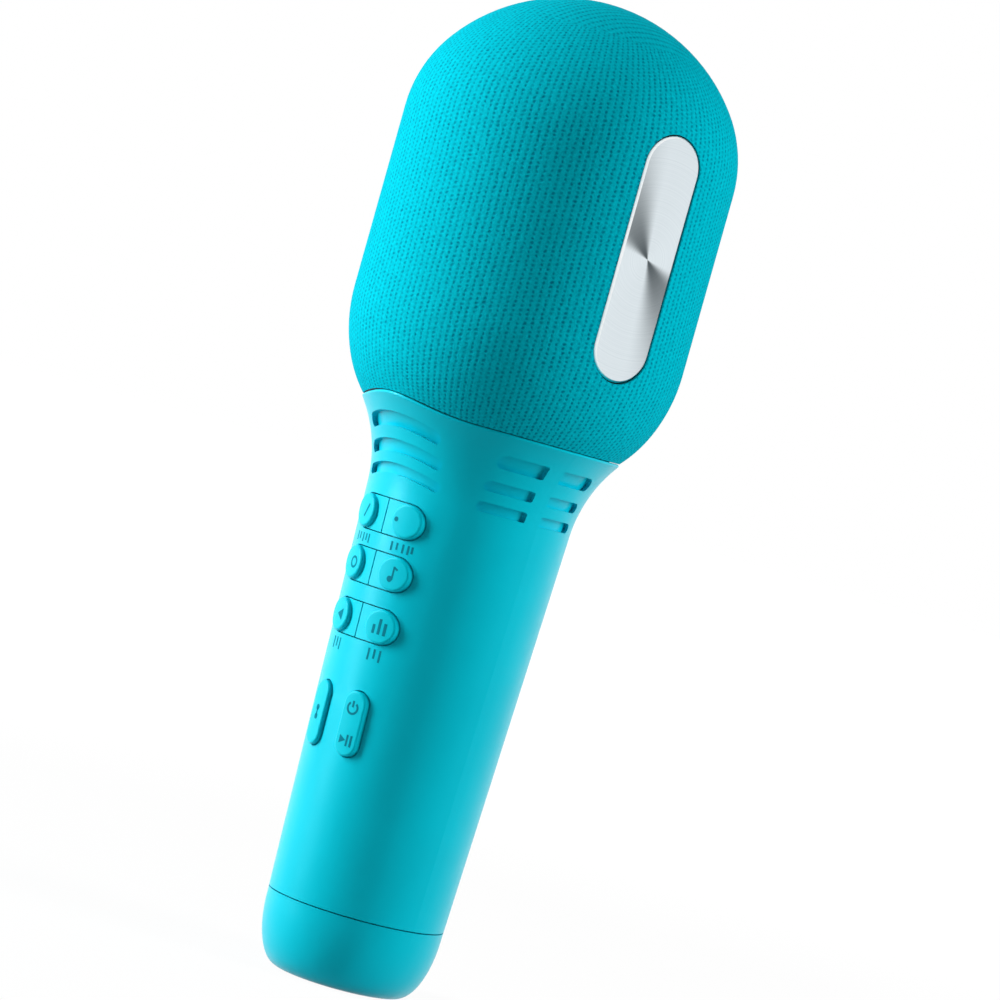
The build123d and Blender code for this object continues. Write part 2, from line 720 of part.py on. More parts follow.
def speaker_cone():
    """Rolled surround, paper cone and dust cap, in one thin shell."""
    low = shelf_top + speaker_flange
    high = low + cone_thickness
    roll = cone_radius - surround_width
    foot = low - cone_depth
    neck = cone_radius / 3
    crest = surround_width / 2
    lip = speaker_radius - 2 * (screw_sizes["speaker"][1] + speaker_screw_edge)
    outline = Polyline((0, foot + dust_cap_rise), (neck, foot), (roll, low), (roll, high))
    outline += ThreePointArc((roll, high), (cone_radius - crest, high + crest), (cone_radius, high))
    outline += Polyline((cone_radius, high), (lip, high), (lip, low), (cone_radius - cone_thickness, low))
    outline += ThreePointArc((cone_radius - cone_thickness, low),
                             (cone_radius - crest, low + crest - cone_thickness),
                             (roll + cone_thickness, low))
    outline += Polyline((roll + cone_thickness, low), (neck, foot - cone_thickness),
                        (0, foot + dust_cap_rise - cone_thickness), (0, foot + dust_cap_rise))
    return turned(outline)


def speaker_screw_set():
    low = shelf_top + speaker_flange
    return group(speaker_screw_places(Rot(180, 0, 0) * screw("speaker", speaker_screw_length), low))


# ---- basket, plate and fabric ----------------------------------------------------------------

def plate_outline(margin=0.0):
    """The plate's rounded bar, seen from +X."""
    bar = SlotOverall(plate_length + 2 * margin, plate_width + 2 * margin, rotation=90)
    return Plane.YZ * Pos(0, plate_height) * bar


def plate_stud_places(solid):
    return [Pos(0, 0, plate_height + side * plate_stud_spacing / 2) * solid for side in (-1, 1)]


def side_plate():
    back = plate_face - plate_thickness
    plate = Pos(back, 0, 0) * extrude(plate_outline(), plate_thickness)
    plate = chamfer(plate.faces().sort_by(Axis.X)[-1].edges(), plate_bevel)
    stud = Pos(back, 0, 0) * extrude(Plane.YZ * Circle(plate_stud_radius), -plate_stud_length)
    for solid in plate_stud_places(stud):
        plate += solid
    return to_side(plate)


def basket_windows():
    """Three rows of windows round the straight part, none behind the plate, and the dome's rings."""
    cuts = []
    step = 360 / window_columns
    half_width = (plate_width + window_width) / 2
    solid_angle = degrees(asin(half_width / (head_radius - fabric_room))) + plate_margin_angle
    for column in range(window_columns):
        angle = step * (column + 0.5)
        if min(angle, 360 - angle) > solid_angle:
            for rise, length in window_rows:
                window = window_cutter(window_width, length, head_radius, head_radius)
                cuts.append(to_side(Rot(0, 0, angle) * Pos(0, 0, bowl_top + rise) * window))
    for tilt, count, width, length in dome_window_rings:
        cut = window_cutter(width, length, min(dome_height, head_radius), max(dome_height, head_radius))
        cut = Pos(0, 0, dome_start) * Rot(0, -tilt, 0) * cut
        cuts += [Rot(0, 0, 360 / count * (place + 0.5)) * cut for place in range(count)]
    return cuts


def head_basket():
    """Upper half of the head's frame: a slotted cylinder and dome with a flat seat for the plate."""
    shell = head_form(fabric_room) - head_form(fabric_room + frame_wall)
    shell = between(shell, head_split + split_gap, reach * 3) - basket_windows()
    seat = plate_face - plate_thickness - seat_gap
    pad = Pos(seat, 0, 0) * extrude(plate_outline(-plate_gap), -3 * frame_wall)
    shell += to_side(pad) - head_form(fabric_room + frame_wall)
    shell -= to_side(Pos(seat, 0, 0) * extrude(plate_outline(plate_gap), plate_thickness * 2))
    stud = extrude(Plane.YZ * Circle(plate_stud_radius + pilot_clearance), reach)
    for hole in plate_stud_places(stud):
        shell -= to_side(hole)
    return shell + bridge_bosses()


def bridge_bosses():
    """Three posts inside the basket that the capsule's bridge screws to."""
    inner = head_form(fabric_room + frame_wall / 2)
    web = extrude(Rectangle(reach, bridge_web, align=(Align.MIN, Align.CENTER)), bridge_boss_length)
    post = boss("bridge", bridge_boss_length) + web
    post -= screw_hole("bridge", bridge_boss_length - boss_wall / 2)
    place = Pos(bridge_boss_radius, 0, bridge_height + bridge_thickness)
    return [(Rot(0, 0, angle) * place * post) & inner for angle in screw_angles]


def fabric_sleeve():
    """The knitted skin, from the collar's edge over the dome, open round the plate."""
    skin = (head_form(0) - head_form(fabric_thickness)) & above_collar(fabric_gap)
    return skin - to_side(extrude(plate_outline(plate_gap), reach))


# ---- capsule and foam ------------------------------------------------------------------------

def capsule_bridge():
    """A three-armed plate across the basket, with a ring for the capsule's rubber boot."""
    bore = boot_radius + part_fit
    body = ring(bore, bore + bridge_hub_wall, 0, bridge_hub_height)
    start = bore + bridge_hub_wall / 2
    arm = Rectangle(bridge_boss_radius - start, bridge_arm_width, align=(Align.MIN, Align.CENTER))
    rib = Rectangle(bridge_rib_length, bridge_rib_width, align=(Align.MIN, Align.CENTER))
    limb = Pos(start, 0, 0) * (extrude(arm, bridge_thickness) + extrude(rib, bridge_hub_height))
    end = Pos(bridge_boss_radius, 0, 0)
    limb += end * extrude(Circle(bridge_arm_width / 2), bridge_thickness)
    limb -= end * screw_hole("bridge", reach, screw_clearance)
    for angle in screw_angles:
        body += Rot(0, 0, angle) * limb
    return Pos(0, 0, bridge_height) * body


def bridge_screws():
    solid = Pos(bridge_boss_radius, 0, bridge_height) * screw("bridge", bridge_boss_length)
    return group(Rot(0, 0, angle) * solid for angle in screw_angles)


def capsule_boot():
    """Rubber cup that hangs in the bridge's ring and holds the capsule."""
    high = boot_foot + boot_length
    hub = bridge_height + bridge_hub_height
    body = ring(0, boot_radius, boot_foot, high)
    body += ring(0, boot_radius + boot_lip, hub + rubber_fit, hub + boot_lip)
    body -= ring(0, capsule_radius + rubber_fit, boot_foot + boot_wall, high)
    return body - ring(0, boot_mouth, boot_foot, high)


def mic_capsule():
    """Round capsule, level with the boot's rim, with seven sound holes."""
    can = fillet(extrude(Circle(capsule_radius), capsule_length).edges(), capsule_edge_round)
    hole = extrude(Circle(capsule_hole_radius), capsule_length)
    hole = Pos(0, 0, capsule_length - capsule_hole_depth) * hole
    can -= hole
    for number in range(6):
        can -= Rot(0, 0, 60 * number) * Pos(capsule_radius / 2, 0, 0) * hole
    return Pos(0, 0, boot_foot + boot_length - capsule_length) * can


def foam_liner():
    """Foam dome between the basket and the capsule."""
    inset = fabric_room + frame_wall + foam_gap
    dome = head_form(inset) - head_form(inset + foam_thickness)
    return between(dome, dome_start + foam_rise, reach * 3)


# ---- all the pieces ----------------------------------------------------------------------------

parts = {
    "handle_shell": handle_shell(),
    "base_cap": base_cap(),
    "base_screws": base_screws(),
    "charge_board": charge_board(),
    "charge_port": charge_port(),
    "inner_chassis": inner_chassis(),
    "main_board": main_board(),
    "board_screws": board_screws(),
    "tact_switches": tact_switches(),
    "battery_cell": battery_cell(),
    "battery_contacts": battery_contacts(),
    "head_bowl": head_bowl(),
    "neck_screws": neck_screws(),
    "speaker_frame": speaker_frame(),
    "speaker_magnet": speaker_magnet(),
    "speaker_cone": speaker_cone(),
    "speaker_screws": speaker_screw_set(),
    "head_basket": head_basket(),
    "side_plate": side_plate(),
    "fabric_sleeve": fabric_sleeve(),
    "capsule_bridge": capsule_bridge(),
    "bridge_screws": bridge_screws(),
    "capsule_boot": capsule_boot(),
    "mic_capsule": mic_capsule(),
    "foam_liner": foam_liner(),
    "power_key": long_key(1),
    "mode_key": long_key(-1),
}
for row, height in key_heights:
    parts[row + "_right_key"] = row_key(1, height)
    parts[row + "_left_key"] = row_key(-1, height)

os.makedirs("parts", exist_ok=True)
for name, solid in parts.items():
    export_step(solid, "parts/" + name + ".step")
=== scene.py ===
import bpy
import json
import math
from mathutils import Matrix, Vector


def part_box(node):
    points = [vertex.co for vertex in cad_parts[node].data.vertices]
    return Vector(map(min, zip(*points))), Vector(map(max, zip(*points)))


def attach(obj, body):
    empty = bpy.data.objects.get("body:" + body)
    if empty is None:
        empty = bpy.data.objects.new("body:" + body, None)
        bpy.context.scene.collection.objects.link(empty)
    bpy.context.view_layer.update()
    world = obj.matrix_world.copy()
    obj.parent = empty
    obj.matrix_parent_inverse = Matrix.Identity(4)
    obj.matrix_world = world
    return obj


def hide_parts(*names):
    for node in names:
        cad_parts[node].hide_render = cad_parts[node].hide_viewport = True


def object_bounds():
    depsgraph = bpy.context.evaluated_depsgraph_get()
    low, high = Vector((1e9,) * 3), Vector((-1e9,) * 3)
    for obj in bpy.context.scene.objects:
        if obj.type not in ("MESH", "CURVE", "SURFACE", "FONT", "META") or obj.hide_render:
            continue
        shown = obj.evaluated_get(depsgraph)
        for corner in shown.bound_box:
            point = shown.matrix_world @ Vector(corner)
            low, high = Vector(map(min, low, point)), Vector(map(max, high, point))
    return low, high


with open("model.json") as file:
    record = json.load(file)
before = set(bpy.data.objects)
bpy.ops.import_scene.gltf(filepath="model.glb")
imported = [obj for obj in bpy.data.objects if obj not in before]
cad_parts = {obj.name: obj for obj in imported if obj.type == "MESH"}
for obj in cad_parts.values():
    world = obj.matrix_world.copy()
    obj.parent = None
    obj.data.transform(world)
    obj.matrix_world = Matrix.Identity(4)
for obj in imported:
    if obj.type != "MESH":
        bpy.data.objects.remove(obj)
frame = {"nodes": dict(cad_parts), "record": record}
cadLow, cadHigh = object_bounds()
print("frame loaded")

root = "microphone"
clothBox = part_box("fabric_sleeve")


def middleOf(node):
    low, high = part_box(node)
    return (low + high) / 2


rowHeights = {row: middleOf(row + "_right_key").z for row in ("upper", "middle", "lower")}
padOffset = middleOf("upper_right_key").x          # round keys, each side of the front
pillOffset = middleOf("power_key").x
pillHeight = middleOf("power_key").z
plateMiddle = middleOf("side_plate")
plateTurn = -math.atan2(plateMiddle.y, plateMiddle.x)          # from +X towards the keys


def startFresh():
    if bpy.context.mode != "OBJECT":
        bpy.ops.object.mode_set(mode="OBJECT")
    bpy.ops.object.select_all(action="DESELECT")


def takeHold(piece):
    startFresh()
    piece.select_set(True)
    bpy.context.view_layer.objects.active = piece


def applyModifier(piece, kind, **settings):
    takeHold(piece)
    modifier = piece.modifiers.new(kind.title(), kind)
    for name, value in settings.items():
        setattr(modifier, name, value)
    bpy.ops.object.modifier_apply(modifier=modifier.name)


def placeInMesh():
    bpy.ops.object.transform_apply(location=True, rotation=True, scale=True)


def finishPiece(piece, name, body, material):
    piece.name = name
    piece.data.name = name
    piece.data.materials.clear()
    piece.data.materials.append(material)
    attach(piece, body)
    return piece


noiseSpan = (0.3, 0.7)        # most of a noise lies between these


class Recipe:
    # a material with its nodes at hand; a noise is given by its scale, detail and roughness
    def __init__(self, name):
        self.material = bpy.data.materials.new(name)
        self.material.use_nodes = True
        self.nodes = self.material.node_tree.nodes
        self.links = self.material.node_tree.links
        self.shader = self.nodes["Principled BSDF"]

    def add(self, kind, **values):
        node = self.nodes.new(kind)
        for name, value in values.items():
            setattr(node, name, value)
        return node

    def join(self, source, target):
        self.links.new(source, target)

    def drive(self, name, source):
        self.join(source, self.shader.inputs[name])

    def math(self, operation, first, second=None):
        node = self.add("ShaderNodeMath", operation=operation)
        for index, value in enumerate((first, second)):
            if value is None:
                continue
            if isinstance(value, (int, float)):
                node.inputs[index].default_value = value
            else:
                self.join(value, node.inputs[index])
        return node.outputs[0]

    def vector(self, operation, *operands):
        node = self.add("ShaderNodeVectorMath", operation=operation)
        for socket, value in zip(node.inputs, operands):
            if isinstance(value, Vector):
                socket.default_value = value
            else:
                self.join(value, socket)
        return node.outputs["Value" if operation in ("LENGTH", "DOT_PRODUCT") else "Vector"]

    def place(self):
        return self.add("ShaderNodeTexCoord").outputs["Object"]

    def split(self, vector):
        node = self.add("ShaderNodeSeparateXYZ")
        self.join(vector, node.inputs[0])
        return node.outputs

    def noise(self, vector, scale, detail=3.0, roughness=0.5):
        node = self.add("ShaderNodeTexNoise")
        node.inputs["Scale"].default_value = scale
        node.inputs["Detail"].default_value = detail
        node.inputs["Roughness"].default_value = roughness
        self.join(vector, node.inputs["Vector"])
        return node.outputs["Fac"]

    def spread(self, value, fromLow, fromHigh, toLow, toHigh, kind="LINEAR"):
        node = self.add("ShaderNodeMapRange", interpolation_type=kind)
        limits = {"From Min": fromLow, "From Max": fromHigh, "To Min": toLow, "To Max": toHigh}
        for name, number in limits.items():
            node.inputs[name].default_value = number
        self.join(value, node.inputs["Value"])
        return node.outputs["Result"]

    def blend(self, factor, first, second):
        node = self.add("ShaderNodeMix", data_type="RGBA")
        self.join(factor, node.inputs["Factor"])
        for name, value in (("A", first), ("B", second)):
            socket = [s for s in node.inputs if s.name == name and s.type == "RGBA"][0]
            if isinstance(value, tuple):
                socket.default_value = value + (1.0,)
            else:
                self.join(value, socket)
        return [s for s in node.outputs if s.type == "RGBA"][0]

    def bump(self, height, strength, distance):
        node = self.add("ShaderNodeBump")
        node.inputs["Strength"].default_value = strength
        node.inputs["Distance"].default_value = distance
        self.join(height, node.inputs["Height"])
        self.drive("Normal", node.outputs["Normal"])

    def set(self, **values):
        names = {"metallic": "Metallic", "roughness": "Roughness", "specular": "Specular IOR Level",
                 "tint": "Specular Tint", "anisotropy": "Anisotropic", "sheen": "Sheen Weight",
                 "sheenRoughness": "Sheen Roughness", "sheenTint": "Sheen Tint"}
        for name, value in values.items():
            self.shader.inputs[names[name]].default_value = value


moulding = {
    "cloud": (35, 2), "cloudSpan": (0.35, 0.65),     # the two tones lie in soft clouds
    "rub": (260, 4, 0.6), "lessRough": 0.04, "moreRough": 0.05,        # the gloss varies a little
    "grain": (9000, 2), "relief": 0.12, "depth": 0.00002,
    "roughness": 0.32, "specular": 0.25, "tint": (0.15, 0.8, 1.0, 1),
}


def mouldedPlastic(name, light, dark, roughness=moulding["roughness"]):
    recipe = Recipe(name)
    place = recipe.place()
    cloudy = recipe.spread(recipe.noise(place, *moulding["cloud"]), *moulding["cloudSpan"], 0, 1)
    recipe.drive("Base Color", recipe.blend(cloudy, light, dark))
    leastRough, mostRough = roughness - moulding["lessRough"], roughness + moulding["moreRough"]
    rubbed = recipe.noise(place, *moulding["rub"])
    recipe.drive("Roughness", recipe.spread(rubbed, *noiseSpan, leastRough, mostRough))
    recipe.set(specular=moulding["specular"], tint=moulding["tint"])
    recipe.bump(recipe.noise(place, *moulding["grain"]), moulding["relief"], moulding["depth"])
    return recipe.material


mottling = {"scale": 400, "detail": 4, "uneven": 0.06, "relief": 0.1, "depth": 0.00003}


def plainFinish(name, light, dark, metallic, roughness, scale=mottling["scale"], **more):
    recipe = Recipe(name)
    mottle = recipe.noise(recipe.place(), scale, mottling["detail"])
    recipe.drive("Base Color", recipe.blend(mottle, light, dark))
    leastRough, mostRough = roughness - mottling["uneven"], roughness + mottling["uneven"]
    recipe.drive("Roughness", recipe.spread(mottle, *noiseSpan, leastRough, mostRough))
    recipe.set(metallic=metallic, **more)
    recipe.bump(mottle, mottling["relief"], mottling["depth"])
    return recipe.material


knit = {
    "columns": 150, "across": 0.001738,              # columns round the head, and from one to the next
    "rise": 0.00109,                                 # hole to hole along a column
    "crown": 0.027,                                  # inside the crown the lattice is a flat one
    "holeEdge": 0.00060, "holeHeart": 0.00008,       # a hole fades from its edge to its heart
    # the hole colour is painted shade: the knit's hollows darkened as shade falls in them
    "yarn": (0.0, 0.58, 0.70), "yarnDark": (0.0, 0.38, 0.485), "hole": (0.0, 0.16, 0.26),
    "wave": (0.9, 3, 0.6), "waveSpan": (0.2, 0.8),
    "wobble": 0.22,                                  # holes stray this far, as a share of a step
    "patch": (420, 3, 0.6), "faintest": 0.4,         # some holes are fainter than others
    "tone": (1500, 4, 0.7), "fibre": (5200, 3), "fibreShare": 0.3,
    "relief": 0.85, "depth": 0.00012,
    "roughness": 0.85, "specular": 0.04, "tint": (0.1, 0.8, 1.0, 1),
    "sheen": 0.12, "sheenRoughness": 0.4, "sheenTint": (0.02, 0.8, 1.0, 1),
}


def pinholes(recipe, across, along):
    # 1 in the heart of a hole and 0 on the yarn; every other column is raised by half a step
    column = recipe.math("FLOOR", across)
    odd = recipe.math("FLOORED_MODULO", column, 2)
    lifted = recipe.math("ADD", along, recipe.math("MULTIPLY", odd, 0.5))
    offCentre = recipe.math("SUBTRACT", recipe.math("FRACT", across), 0.5)
    offMiddle = recipe.math("SUBTRACT", recipe.math("FRACT", lifted), 0.5)
    flat = recipe.add("ShaderNodeCombineXYZ")
    recipe.join(recipe.math("MULTIPLY", offCentre, knit["across"]), flat.inputs[0])
    recipe.join(recipe.math("MULTIPLY", offMiddle, knit["rise"]), flat.inputs[1])
    length = recipe.vector("LENGTH", flat.outputs[0])
    return recipe.spread(length, knit["holeHeart"], knit["holeEdge"], 1, 0, "SMOOTHSTEP")


def knitCloth():
    recipe = Recipe("knitCloth")
    uv = recipe.add("ShaderNodeUVMap", uv_map="stitches").outputs["UV"]
    column, row = recipe.split(uv)[:2]
    wave = recipe.noise(uv, *knit["wave"])
    wobble = recipe.spread(wave, *knit["waveSpan"], -knit["wobble"], knit["wobble"])
    sides = pinholes(recipe, recipe.math("ADD", column, wobble), recipe.math("ADD", row, wobble))
    place = recipe.place()
    x, y = recipe.split(place)[:2]
    crown = pinholes(recipe, recipe.math("DIVIDE", x, knit["across"]), recipe.math("DIVIDE", y, knit["rise"]))
    squares = recipe.math("ADD", recipe.math("POWER", x, 2), recipe.math("POWER", y, 2))
    onCrown = recipe.math("LESS_THAN", recipe.math("SQRT", squares), knit["crown"])
    hole = recipe.math("ADD", recipe.math("MULTIPLY", crown, onCrown),
                       recipe.math("MULTIPLY", sides, recipe.math("SUBTRACT", 1, onCrown)))
    patchy = recipe.spread(recipe.noise(place, *knit["patch"]), *noiseSpan, knit["faintest"], 1.0)
    hole = recipe.math("MULTIPLY", hole, patchy)
    tone = recipe.spread(recipe.noise(place, *knit["tone"]), *noiseSpan, 0, 1)
    yarn = recipe.blend(tone, knit["yarn"], knit["yarnDark"])
    # the holes are real openings; their darker colour is painted shade of the knit's hollows
    recipe.drive("Base Color", recipe.blend(hole, yarn, knit["hole"]))
    fibre = recipe.math("MULTIPLY", recipe.noise(place, *knit["fibre"]), knit["fibreShare"])
    recipe.bump(recipe.math("SUBTRACT", fibre, hole), knit["relief"], knit["depth"])
    recipe.set(roughness=knit["roughness"], specular=knit["specular"], tint=knit["tint"],
               sheen=knit["sheen"], sheenRoughness=knit["sheenRoughness"], sheenTint=knit["sheenTint"])
    return recipe.material


spun = {
    "light": (0.81, 0.88, 0.915), "shade": (0.71, 0.785, 0.825),
    # the fan colour is a painted reflection: the dark wedges that a turned finish's highlight shows
    "paintedFanShade": (0.09, 0.11, 0.12), "fanTilt": math.radians(134), "fanStart": 0.15,
    "fanHeart": 0.001, "fanReach": 0.034, "fanEnd": 0.15,        # the fan fades to this share on its way out
    "ringScale": 3000, "ringDetail": 3, "relief": 0.15, "depth": 0.00002,
    # the rim colour is a painted highlight, the glint of the polished edge
    "rim": (0.95, 0.97, 0.98), "faceLevel": 0.96,    # what turns further from the face than this is rim
    "roughness": 0.38, "uneven": 0.05, "anisotropy": 0.85,
}


def spunMetal():
    # turned finish: fine rings round the plate's middle and a stretched highlight,
    # with the dark fan of such a finish's reflection painted into the base colour as a painted reflection
    outward = Vector((math.cos(plateTurn), -math.sin(plateTurn), 0))
    sideways = Vector((math.sin(plateTurn), math.cos(plateTurn), 0))
    recipe = Recipe("spunMetal")
    away = recipe.vector("SUBTRACT", recipe.place(), plateMiddle)
    around = recipe.vector("CROSS_PRODUCT", outward, away)
    tangent = recipe.vector("NORMALIZE", around)
    recipe.drive("Tangent", tangent)
    length = recipe.vector("LENGTH", around)
    ringNoise = recipe.add("ShaderNodeTexNoise", noise_dimensions="1D")
    ringNoise.inputs["Scale"].default_value = spun["ringScale"]
    ringNoise.inputs["Detail"].default_value = spun["ringDetail"]
    recipe.join(length, ringNoise.inputs["W"])
    rings = ringNoise.outputs["Fac"]
    # the painted reflection fan lies where the rings run square to its line
    fanLine = sideways * math.cos(spun["fanTilt"]) + Vector((0, 0, math.sin(spun["fanTilt"])))
    facing = recipe.vector("DOT_PRODUCT", tangent, outward.cross(fanLine))
    doubled = recipe.math("SUBTRACT", recipe.math("MULTIPLY", recipe.math("POWER", facing, 2), 2), 1)
    fan = recipe.spread(doubled, spun["fanStart"], 1, 0, 1, "SMOOTHSTEP")
    fading = recipe.spread(length, spun["fanHeart"], spun["fanReach"], 1, spun["fanEnd"])
    ringed = recipe.blend(rings, spun["light"], spun["shade"])
    fanned = recipe.blend(recipe.math("MULTIPLY", fan, fading), ringed, spun["paintedFanShade"])
    # the cut edge is polished, and its bright glint is a painted highlight: a paler base colour
    level = recipe.vector("DOT_PRODUCT", recipe.add("ShaderNodeNewGeometry").outputs["Normal"], outward)
    edge = recipe.math("LESS_THAN", level, spun["faceLevel"])
    recipe.drive("Base Color", recipe.blend(edge, fanned, spun["rim"]))
    leastRough, mostRough = spun["roughness"] - spun["uneven"], spun["roughness"] + spun["uneven"]
    recipe.drive("Roughness", recipe.spread(rings, *noiseSpan, leastRough, mostRough))
    recipe.set(metallic=1.0, anisotropy=spun["anisotropy"])
    recipe.bump(rings, spun["relief"], spun["depth"])
    return recipe.material


# a plastic has two tones and a roughness; a plain finish has two tones, how metallic it is and its roughness
finishes = {
    "handle_plastic": mouldedPlastic("handlePlastic", (0.0, 0.555, 0.69), (0.0, 0.52, 0.65)),
    "key_plastic": mouldedPlastic("keyPlastic", (0.0, 0.57, 0.70), (0.0, 0.535, 0.66), 0.38),
    "head_fabric": knitCloth(),
    "plate_metal": spunMetal(),
    "frame_plastic": mouldedPlastic("framePlastic", (0.02, 0.022, 0.024), (0.012, 0.013, 0.014), 0.5),
    "chassis_plastic": mouldedPlastic("chassisPlastic", (0.30, 0.31, 0.32), (0.26, 0.27, 0.28), 0.5),
    "circuit_board": plainFinish("circuitBoard", (0.01, 0.13, 0.05), (0.008, 0.09, 0.035), 0.0, 0.35),
    "switch_metal": plainFinish("switchMetal", (0.6, 0.6, 0.58), (0.45, 0.45, 0.44), 1.0, 0.35),
    "screw_steel": plainFinish("screwSteel", (0.55, 0.55, 0.56), (0.38, 0.38, 0.40), 1.0, 0.3),
    "cell_wrap": plainFinish("cellWrap", (0.03, 0.12, 0.35), (0.02, 0.09, 0.28), 0.0, 0.3),
    "contact_nickel": plainFinish("contactNickel", (0.62, 0.60, 0.54), (0.5, 0.48, 0.44), 1.0, 0.3),
    "port_steel": plainFinish("portSteel", (0.62, 0.63, 0.65), (0.48, 0.49, 0.5), 1.0, 0.28),
    "speaker_steel": plainFinish("speakerSteel", (0.02, 0.02, 0.02), (0.03, 0.03, 0.03), 0.3, 0.45),
    "magnet_ferrite": plainFinish("magnetFerrite", (0.05, 0.05, 0.055), (0.03, 0.03, 0.035), 0.4, 0.6),
    "cone_paper": plainFinish("conePaper", (0.02, 0.02, 0.02), (0.012, 0.012, 0.012), 0.0, 0.8),
    "boot_rubber": plainFinish("bootRubber", (0.015, 0.015, 0.015), (0.01, 0.01, 0.01), 0.0, 0.7),
    "capsule_metal": plainFinish("capsuleMetal", (0.6, 0.61, 0.62), (0.48, 0.49, 0.5), 1.0, 0.3),
    "liner_foam": plainFinish("linerFoam", (0.02, 0.02, 0.02), (0.008, 0.008, 0.008), 0.0, 0.95, scale=1500),
}
markInk = plainFinish("markInk", (0.0, 0.17, 0.24), (0.0, 0.21, 0.29), 0.0, 0.6, specular=0.05)

for part in frame["record"]["subparts"]:
    node = frame["nodes"][part["node"]]
    node.data.materials.clear()
    node.data.materials.append(finishes[part["material_slot"]])
print("materials assigned")


head = {
    "radius": clothBox[1].y, "top": clothBox[1].z, "seam": 0.14,
    "bowlRadius": 0.04058, "exitAngle": math.radians(38),        # the bowl's slope at the seam
    "domeHeight": 0.0368, "shoulderRadius": 0.032,
    "hump": 0.0024, "humpHalfWidth": 0.022,          # the collar's edge rises over the front
    "collarTuck": 0.0004, "collarGap": 0.00012, "blendHeight": 0.010,        # the foot goes behind that edge
}
head["bowlTop"] = head["seam"] + head["bowlRadius"] * math.sin(head["exitAngle"])
head["domeStart"] = head["top"] - head["domeHeight"]
head["shoulderCentre"] = head["radius"] - head["shoulderRadius"]
head["crownRadius"] = ((head["shoulderCentre"] ** 2 + head["domeHeight"] ** 2 - head["shoulderRadius"] ** 2)
                       / (2 * (head["domeHeight"] - head["shoulderRadius"])))
head["joinAngle"] = math.atan2(head["crownRadius"] - head["domeHeight"], head["shoulderCentre"])

sleeve = {
    "columns": 200, "bowlSteps": 18, "straightSteps": 14, "shoulderSteps": 10, "crownSteps": 16,
    "thickness": 0.0007, "smoothAngle": math.radians(35),
    "pole": 1e-5,                                    # this near the axis, a corner has no turn of its own
    "plateGap": 0.00035, "holeCorners": 64, "holeDepth": 0.02,
}


def bowlPoint(angle):
    return (head["radius"] - head["bowlRadius"] * (1 - math.cos(angle)),
            head["bowlTop"] - head["bowlRadius"] * math.sin(angle))


def headOutline():
    # radius, height and length of cloth from the seam, ring by ring
    outline = []
    bowlLength = head["bowlRadius"] * head["exitAngle"]
    for step in range(sleeve["bowlSteps"] + 1):
        angle = head["exitAngle"] * (1 - step / sleeve["bowlSteps"])
        outline.append(bowlPoint(angle) + (bowlLength - head["bowlRadius"] * angle,))
    straight = head["domeStart"] - head["bowlTop"]
    for step in range(1, sleeve["straightSteps"] + 1):
        run = straight * step / sleeve["straightSteps"]
        outline.append((head["radius"], head["bowlTop"] + run, bowlLength + run))
    soFar = bowlLength + straight
    for step in range(1, sleeve["shoulderSteps"] + 1):
        angle = head["joinAngle"] * step / sleeve["shoulderSteps"]
        outline.append((head["shoulderCentre"] + head["shoulderRadius"] * math.cos(angle),
                        head["domeStart"] + head["shoulderRadius"] * math.sin(angle),
                        soFar + head["shoulderRadius"] * angle))
    soFar += head["shoulderRadius"] * head["joinAngle"]
    crownCentre = head["top"] - head["crownRadius"]
    for step in range(1, sleeve["crownSteps"] + 1):
        turn = (math.pi / 2 - head["joinAngle"]) * step / sleeve["crownSteps"]
        angle = head["joinAngle"] + turn
        outline.append((head["crownRadius"] * math.cos(angle),
                        crownCentre + head["crownRadius"] * math.sin(angle),
                        soFar + head["crownRadius"] * turn))
    return outline


def humpAt(x, y):
    reach = abs(x) / head["humpHalfWidth"]
    if y > 0 or reach >= 1:
        return 0.0
    return head["hump"] * (1 - reach * reach * (3 - 2 * reach))


def headCloth():
    outline = headOutline()
    rings = [(radius, height) for radius, height, run in outline]
    radius, height = rings[0]
    startFresh()
    bpy.ops.mesh.primitive_circle_add(vertices=sleeve["columns"], radius=radius, location=(0, 0, height))
    piece = bpy.context.object
    bpy.ops.object.mode_set(mode="EDIT")
    bpy.ops.mesh.select_all(action="SELECT")
    for nextRadius, nextHeight in rings[1:-1]:
        bpy.ops.mesh.extrude_region_move(TRANSFORM_OT_translate={"value": (0, 0, nextHeight - height)})
        factor = nextRadius / radius
        bpy.ops.transform.resize(value=(factor, factor, 1), center_override=(0, 0, nextHeight))
        radius, height = nextRadius, nextHeight
    bpy.ops.mesh.extrude_region_move(TRANSFORM_OT_translate={"value": (0, 0, rings[-1][1] - height)})
    bpy.ops.mesh.merge(type="CENTER")
    bpy.ops.mesh.select_all(action="SELECT")
    bpy.ops.mesh.normals_make_consistent(inside=False)
    bpy.ops.object.mode_set(mode="OBJECT")
    placeInMesh()
    mapStitches(piece, outline)
    fitToCollar(piece)
    applyModifier(piece, "SOLIDIFY", thickness=sleeve["thickness"], offset=-1, use_even_offset=True)
    cutter = plateCutter()
    applyModifier(piece, "BOOLEAN", operation="DIFFERENCE", solver="EXACT", object=cutter)
    bpy.data.objects.remove(cutter, do_unlink=True)
    takeHold(piece)
    placeInMesh()
    bpy.ops.object.shade_smooth_by_angle(angle=sleeve["smoothAngle"])
    return finishPiece(piece, "head_cloth", root, finishes["head_fabric"])


